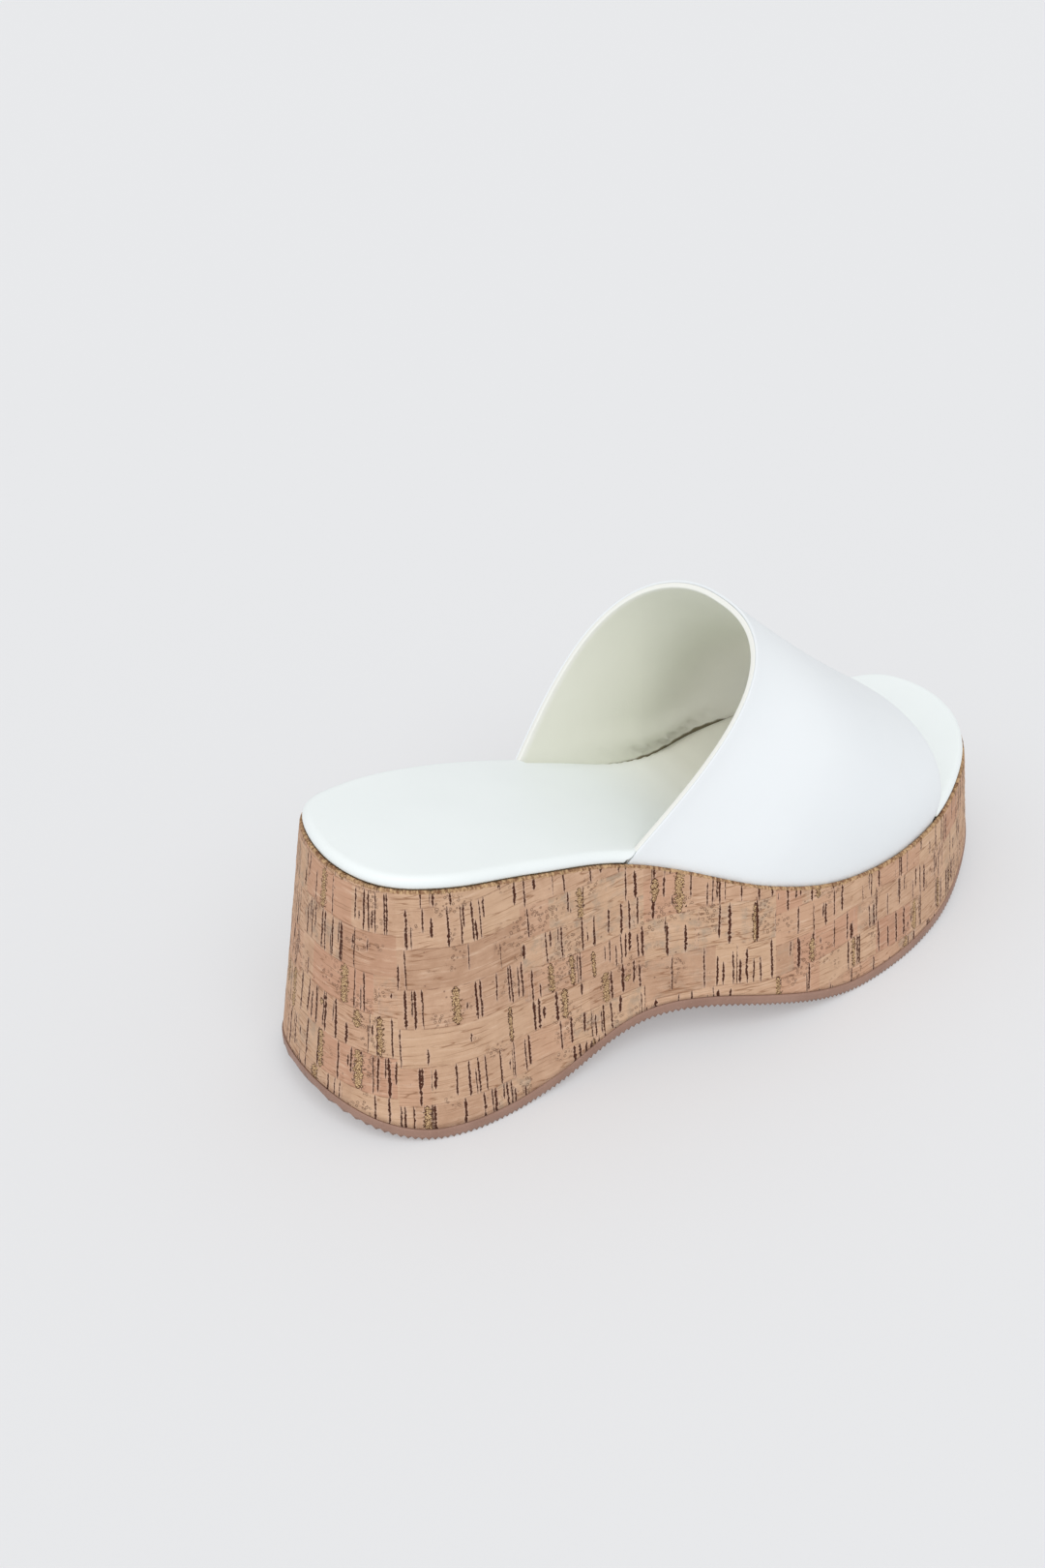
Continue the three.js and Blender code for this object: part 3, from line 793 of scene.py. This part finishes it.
def cork_cuts(look, along, share, key, block_key):
    """How far inside a dark slit and inside a broad gash a point lies, in millimetres."""
    fine = cork_slits(look, along, share, key, **FINE_SLITS)
    dense = cork_slits(look, along, share, block_key, **DENSE_SLITS)
    row = look.calc("MULTIPLY", key, 900.0)
    by_row = look.node("ShaderNodeCombineXYZ", {0: along, 1: row}).outputs[0]
    grouped = look.noise(by_row, 9 / MM, 1)
    dense = look.calc("SUBTRACT", dense, look.remap(grouped, *ROWS_WITH_DENSE_SLITS, 0.0, FAR_OUTSIDE))
    gash_key = look.calc("ADD", key, 0.37)
    gash = cork_slits(look, along, share, gash_key, **GASHES)
    return look.calc("MAXIMUM", fine, dense), gash


def cork_material():
    """Cork veneer: staggered blocks, upright slits, gold-brown gashes, pores, rings and hairlines."""
    look = Look("cork", roughness=0.78, specular=0.2)
    flat = look.place(attribute="wall")
    along, share, key, block_key = cork_places(look)
    streaks = look.noise(look.place(STREAK, "wall"), 1.3, 3, 0.6, 0.3)
    specks = cork_specks(look, flat)
    slits, gash = cork_cuts(look, along, share, key, block_key)
    cut = look.calc("MAXIMUM", look.remap(slits, -0.05, 0.1), look.remap(gash, -0.1, 0.05))

    base = cork_layers(look, flat, share, streaks, cork_ground(look, flat, block_key))
    base = look.mix(look.calc("MULTIPLY", specks, 0.6), base, (0.2, 0.1, 0.065))
    base = look.mix(look.remap(slits, -0.55, -0.15, 0, 0.4), base, (0.68, 0.46, 0.35))
    base = look.mix(cut, base, SLIT_BROWN)
    net = look.cells(flat, 0.6, "DISTANCE_TO_EDGE")["Distance"]
    gold = look.mix(look.remap(net, 0.03, 0.16), (0.13, 0.055, 0.025), (0.66, 0.45, 0.245))
    base = look.mix(look.remap(gash, 0.2, 0.3), base, gold)
    fibres = look.remap(look.noise(flat, 0.8, 2), 0.4, 0.6)
    frayed = look.mix(fibres, (0.22, 0.1, 0.045), (0.6, 0.4, 0.21))
    on_lip = look.split(look.place((1000, 1000, 1000), "wall"))[2]
    look.feed("Base Color", look.mix(look.calc("MULTIPLY", on_lip, 0.8), base, frayed))

    look.feed("Roughness", look.remap(look.noise(flat, 2, 3), 0.3, 0.7, 0.62, 0.88))
    hollow = look.calc("MAXIMUM", cut, look.calc("MULTIPLY", specks, 0.5))
    normal = look.bump(look.calc("SUBTRACT", 1.0, hollow), 0.3)
    normal = look.bump(streaks, 0.12, normal)
    normal = look.bump(look.noise(flat, 0.5, 3), 0.07, normal)
    look.feed("Normal", normal)
    return look.material


def rubber_material():
    look = Look("outsole_rubber", roughness=0.6)
    place = look.place()
    cloud = look.noise(place, 14, 4)
    base = look.mix(look.remap(cloud, 0.3, 0.7), (0.29, 0.165, 0.122), (0.36, 0.215, 0.163))
    speck = look.remap(look.noise(place, 0.8, 2), 0.62, 0.75, 0, 0.35)
    look.feed("Base Color", look.mix(speck, base, (0.52, 0.34, 0.27)))
    look.feed("Roughness", look.remap(look.noise(place, 3, 4), 0.3, 0.7, 0.52, 0.72))
    look.feed("Normal", look.bump(look.noise(place, 0.5, 3), 0.05))
    return look.material


def white_leather(name, light, shaded, grain_mm, grain_depth, rough, tints=()):
    """Smooth coated leather: faint cloudy tint, fine grain and uneven gloss.

    Each tint is a mesh attribute, its values for none and all of the tint, and the tint's colour.
    """
    look = Look(name, roughness=rough, specular=0.45)
    place = look.place()
    cloud = look.noise(place, 40, 3)
    base = look.mix(look.remap(cloud, 0.35, 0.65), shaded, light)
    for attribute, none, full, colour in tints:
        value = look.node("ShaderNodeAttribute", attribute_name=attribute).outputs["Fac"]
        base = look.mix(look.remap(value, none, full), base, colour)
    look.feed("Base Color", base)
    gloss = look.noise(place, 6, 4)
    look.feed("Roughness", look.remap(gloss, 0.3, 0.7, rough - 0.06, rough + 0.08))
    pebbles = look.cells(place, grain_mm, "SMOOTH_F1")["Distance"]
    normal = look.bump(pebbles, grain_depth)
    normal = look.bump(look.noise(place, 9, 2), 0.12, normal)
    look.feed("Normal", normal)
    return look.material


def upper_material():
    return white_leather("upper_white", (0.84, 0.875, 0.9), (0.825, 0.86, 0.885), 0.5, 0.012, 0.4)


def insole_material():
    """White, with a painted creamy shade and a painted reflection of the lining where the band covers
    it and keeps the light away.
    """
    return white_leather(
        "insole_white", (0.885, 0.935, 0.935), (0.865, 0.915, 0.915), 0.45, 0.012, 0.36,
        # painted shade and reflection of the lining where the band covers the footbed
        tints=[("covered", 0, 1, (0.93, 0.92, 0.84))],
    )


def lining_material():
    """Cream lining, off-white on its bare edge, painted lighter and less yellow deep inside against its
    shade, and painted dark as shade in its crease.
    """
    return white_leather(
        "lining_cream", (0.81, 0.82, 0.725), (0.78, 0.79, 0.69), 0.6, 0.02, 0.55,
        tints=[
            # painted light: lighter deep inside the band, against its shade
            ("deep", 0, 1, (0.945, 0.935, 0.86)),
            ("rim", 0, 1, (0.87, 0.875, 0.83)),
            # painted shade: a dark line on the lining just above where the footbed's edge meets it
            ("above", -2.8, -3.3, (0.25, 0.22, 0.14)),
        ],
    )


def fibre_material(name, light, dark, size_mm, depth_mm):
    """Pressed or woven fibres, for board, felt and backing cloth."""
    look = Look(name, roughness=0.9)
    place = look.place()
    strands = look.noise(look.place((0.25, 1, 1)), size_mm, 4, 0.7, 0.6)
    crossing = look.noise(look.place((1, 0.25, 1)), size_mm, 4, 0.7, 0.6)
    pattern = look.calc("MAXIMUM", strands, crossing)
    look.feed("Base Color", look.mix(look.remap(pattern, 0.4, 0.7), dark, light))
    matt = look.noise(place, 4, 2)
    look.feed("Roughness", look.remap(matt, 0.3, 0.7, 0.82, 0.96))
    look.feed("Normal", look.bump(pattern, depth_mm))
    return look.material


def foam_material(name, light, dark, cell_mm):
    look = Look(name, roughness=0.9)
    place = look.place()
    bubbles = look.cells(place, cell_mm)["Distance"]
    look.feed("Base Color", look.mix(look.remap(bubbles, 0.1, 0.7), dark, light))
    look.feed("Normal", look.bump(bubbles, 0.15))
    return look.material


def steel_material():
    look = Look("shank_steel", metallic=1.0)
    brushed = look.noise(look.place((0.04, 1, 1)), 0.4, 4)
    bright = look.remap(brushed, 0.3, 0.7)
    look.feed("Base Color", look.mix(bright, (0.45, 0.46, 0.48), (0.62, 0.63, 0.65)))
    look.feed("Roughness", look.remap(brushed, 0.3, 0.7, 0.28, 0.45))
    look.feed("Normal", look.bump(brushed, 0.02))
    return look.material


def dress_hidden_nodes():
    """Materials of the CAD nodes that keep their shape."""
    steel = steel_material()
    backing = fibre_material("interlining_fabric", (0.76, 0.73, 0.66), (0.6, 0.57, 0.5), 0.5, 0.1)
    felt = fibre_material("filler_felt", (0.52, 0.49, 0.42), (0.36, 0.33, 0.28), 0.8, 0.2)
    board = fibre_material("insole_fibreboard", (0.38, 0.28, 0.16), (0.25, 0.17, 0.09), 1.2, 0.1)
    looks = {
        "wedge_core": foam_material("core_foam", (0.72, 0.63, 0.49), (0.6, 0.5, 0.37), 1.1),
        "bottom_filler": felt,
        "insole_board": board,
        "insole_foam": foam_material("cushion_foam", (0.84, 0.81, 0.69), (0.7, 0.66, 0.53), 0.6),
        "shank": steel,
        "shank_rivet_heel": steel,
        "shank_rivet_waist": steel,
        "upper_interlining": backing,
        "throat_tape": backing,
        "toe_opening_tape": backing,
    }
    for name, material in looks.items():
        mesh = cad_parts[name].data
        mesh.materials.clear()
        mesh.materials.append(material)


# ---- Studio --------------------------------------------------------------------------------------

CAMERA_AT = np.array([-203.3, -403.6, 393.5])
CAMERA_LOOKS = Vector((0.4676, 0.6969, -0.5438))
CAMERA_LENS = 46.78
SKY_STRENGTH = 0.71
FLOOR_REACH = 12.0  # metres from the middle to each edge
FLOOR_GLOW = 0.32  # share of the floor's light that the floor gives off itself as painted light, which fades the shadows on it
OPEN_FLOOR_LIGHT = 1.005  # what lamps and sky together send to the open floor


def camera():
    data = bpy.data.cameras.new("camera")
    data.lens = CAMERA_LENS
    made = bpy.data.objects.new("camera", data)
    bpy.context.scene.collection.objects.link(made)
    made.location = to_row(CAMERA_AT)
    made.rotation_euler = CAMERA_LOOKS.to_track_quat("-Z", "Y").to_euler()
    bpy.context.scene.camera = made


def light(name, strength, towards, softness):
    """A distant lamp that shines from the given direction, as soft as its angle in radians."""
    data = bpy.data.lights.new(name, "SUN")
    data.energy = strength
    data.angle = softness
    made = bpy.data.objects.new(name, data)
    bpy.context.scene.collection.objects.link(made)
    made.rotation_euler = Vector(towards).to_track_quat("Z", "Y").to_euler()


def floor():
    """Pale paper that glows a little by itself as painted light, which keeps the shadows on it faint.
    """
    look = Look("floor", roughness=0.95, specular=0.1)
    paper = look.remap(look.noise(look.place(), 900, 2), 0.3, 0.7)
    colour = look.mix(paper, (0.801, 0.809, 0.825), (0.807, 0.815, 0.831))
    # Painted light: the floor glows though it is no lamp, and its colour is darkened by the same share.
    look.feed("Base Color", look.mix(FLOOR_GLOW, colour, (0, 0, 0)))
    look.feed("Emission Color", colour)
    look.shader.inputs["Emission Strength"].default_value = FLOOR_GLOW * OPEN_FLOOR_LIGHT
    mesh = bpy.data.meshes.new("floor")
    corners = [(-1, -1, 0), (1, -1, 0), (1, 1, 0), (-1, 1, 0)]
    mesh.from_pydata([tuple(FLOOR_REACH * c for c in corner) for corner in corners], [], [(0, 1, 2, 3)])
    mesh.materials.append(look.material)
    made = bpy.data.objects.new("floor", mesh)
    bpy.context.scene.collection.objects.link(made)


def studio():
    floor()
    world = bpy.data.worlds.new("studio")
    world.use_nodes = True
    background = world.node_tree.nodes["Background"]
    background.inputs["Color"].default_value = (1, 1, 1, 1)
    background.inputs["Strength"].default_value = SKY_STRENGTH
    bpy.context.scene.world = world
    light("key", 0.95, (-0.3, -0.75, 1.1), 0.8)
    light("side", 0.3, (-1.0, -0.3, 0.6), 1.2)
    bpy.context.scene.view_settings.view_transform = "Standard"


# ---- Scene ---------------------------------------------------------------------------------------

camera()
studio()
cork_wrap()
outsole()
insole_cover()
upper_outer()
upper_lining()
dress_hidden_nodes()
